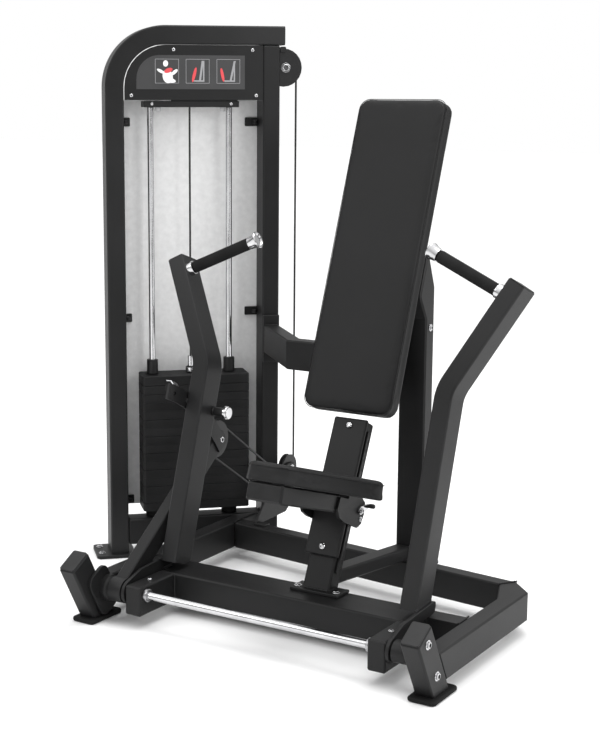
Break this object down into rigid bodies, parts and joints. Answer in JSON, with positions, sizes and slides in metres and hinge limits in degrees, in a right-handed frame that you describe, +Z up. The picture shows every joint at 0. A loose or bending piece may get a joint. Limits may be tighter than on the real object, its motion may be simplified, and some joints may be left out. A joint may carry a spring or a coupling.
{
  "type": "chest press machine",
  "caption": "Seated chest press with a weight tower set at an angle, pivoting press arms with hand grips, an adjustable seat and a tall leaning back pad.",
  "frame": {"origin": "on the floor, under the middle of the machine outline seen from above", "axes": "+X to the right of someone facing the seat, +Y from the front of the machine to its back, +Z up"},
  "size_m": [1.4437, 1.0461, 1.594],
  "materials": {
    "frame_paint": "satin black powder coat",
    "vinyl": "fine grained black vinyl",
    "rubber": "matt black",
    "chrome": "bright plated",
    "cast_iron": "black painted casting",
    "pale_panel": "pale satin sheet",
    "nylon": "black moulded nylon and coated cable"
  },
  "bodies": {
    "frame": {"cross_beam": "frame_paint", "shaft_box_left": "frame_paint", "shaft_box_right": "frame_paint", "side_tube_left": "frame_paint", "side_tube_right": "frame_paint", "leg_left": "frame_paint", "leg_right": "frame_paint", "bearing_left": "frame_paint", "bearing_right": "frame_paint", "rear_tube": "frame_paint", "centre_tube": "frame_paint", "tower_arch": "frame_paint", "tower_column": "frame_paint", "tower_base": "frame_paint", "connecting_tube": "frame_paint", "rear_upright": "frame_paint", "seat_post": "frame_paint", "post_cover": "frame_paint", "placard": "frame_paint", "guide_bracket": "frame_paint", "side_pulley_bracket": "frame_paint", "base_pulley_bracket": "frame_paint", "back_pad": "vinyl", "foot_left": "rubber", "foot_right": "rubber", "rear_foot": "rubber", "tower_foot": "rubber", "bumper_left": "rubber", "bumper_right": "rubber", "guide_rod_left": "chrome", "guide_rod_right": "chrome", "rack_strip": "chrome", "plate_pair_2": "cast_iron", "plate_pair_3": "cast_iron", "plate_pair_4": "cast_iron", "plate_pair_5": "cast_iron", "plate_pair_6": "cast_iron", "plate_pair_7": "cast_iron", "tower_shield": "pale_panel", "cable_stack": "nylon", "cable_frame": "nylon", "cable_lever": "nylon"},
    "lever": {"press_lever": "frame_paint"},
    "lever_wheel": {"lever_pulley": "nylon"},
    "arms": {"press_shaft": "chrome", "arm_left": "frame_paint", "arm_right": "frame_paint", "grip_left": "rubber", "grip_right": "rubber"},
    "knob": {"pop_pin": "chrome"},
    "lift": {"head_plate": "cast_iron", "plate_pair_1": "cast_iron", "plate_selected": "cast_iron"},
    "selector": {"selector_pin": "chrome"},
    "top_wheel": {"top_pulley": "nylon"},
    "side_wheel": {"side_pulley": "nylon"},
    "base_wheel": {"base_pulley": "nylon"},
    "seat": {"seat_carriage": "frame_paint", "seat_pad": "vinyl"},
    "latch": {"seat_latch": "chrome"}
  },
  "joints": [
    {"name": "press_pivot", "type": "hinge", "parent": "frame", "child": "lever", "pos_m": [0.1819, -0.3942, 0.09], "axis": [1, 0, 0], "range_deg": [0, 34], "deforming": ["cable_lever"]},
    {"name": "start_position", "type": "hinge", "parent": "lever", "child": "arms", "pos_m": [0.1819, -0.3942, 0.09], "axis": [1, 0, 0], "range_deg": [0, 13]},
    {"name": "pop_pin_pull", "type": "slide", "parent": "arms", "child": "knob", "axis": [1, 0, 0], "range_m": [0, 0.014], "stiffness_N_per_m": 800, "springref_m": -0.006},
    {"name": "stack_lift", "type": "slide", "parent": "frame", "child": "lift", "axis": [0, 0, 1], "range_m": [0, 0.54], "deforming": ["cable_stack"]},
    {"name": "selector_pull", "type": "slide", "parent": "lift", "child": "selector", "axis": [0.7096, -0.7046, 0], "range_m": [0, 0.06]},
    {"name": "top_pulley_spin", "type": "hinge", "parent": "frame", "child": "top_wheel", "pos_m": [-0.43296, 0.29477, 1.472], "axis": [-0.7096, 0.7046, 0], "range_deg": [0, 620]},
    {"name": "side_pulley_spin", "type": "hinge", "parent": "frame", "child": "side_wheel", "pos_m": [-0.27174, 0.45712, 1.474], "axis": [-0.7096, 0.7046, 0], "range_deg": [0, 670]},
    {"name": "base_pulley_spin", "type": "hinge", "parent": "frame", "child": "base_wheel", "pos_m": [-0.2391, 0.454, 0.25], "axis": [-1, 0, 0], "range_deg": [0, 860]},
    {"name": "lever_pulley_spin", "type": "hinge", "parent": "lever", "child": "lever_wheel", "pos_m": [-0.2391, 0.0548, 0.418], "axis": [1, 0, 0], "range_deg": [0, 330]},
    {"name": "seat_slide", "type": "slide", "parent": "frame", "child": "seat", "axis": [0, 0.4147, 0.91], "range_m": [-0.05, 0.075]},
    {"name": "latch_pivot", "type": "hinge", "parent": "seat", "child": "latch", "pos_m": [0.3036, -0.06357, 0.31482], "axis": [-1, 0, 0], "range_deg": [0, 20], "stiffness_Nm_per_rad": 2, "springref_deg": -11.46}
  ],
  "couplings": [
    {"joint": "stack_lift", "follows": "press_pivot", "m_per_rad": 0.9},
    {"joint": "top_pulley_spin", "follows": "press_pivot", "ratio": 18},
    {"joint": "side_pulley_spin", "follows": "press_pivot", "ratio": 19.565},
    {"joint": "base_pulley_spin", "follows": "press_pivot", "ratio": 25},
    {"joint": "lever_pulley_spin", "follows": "press_pivot", "ratio": 9.375}
  ]
}
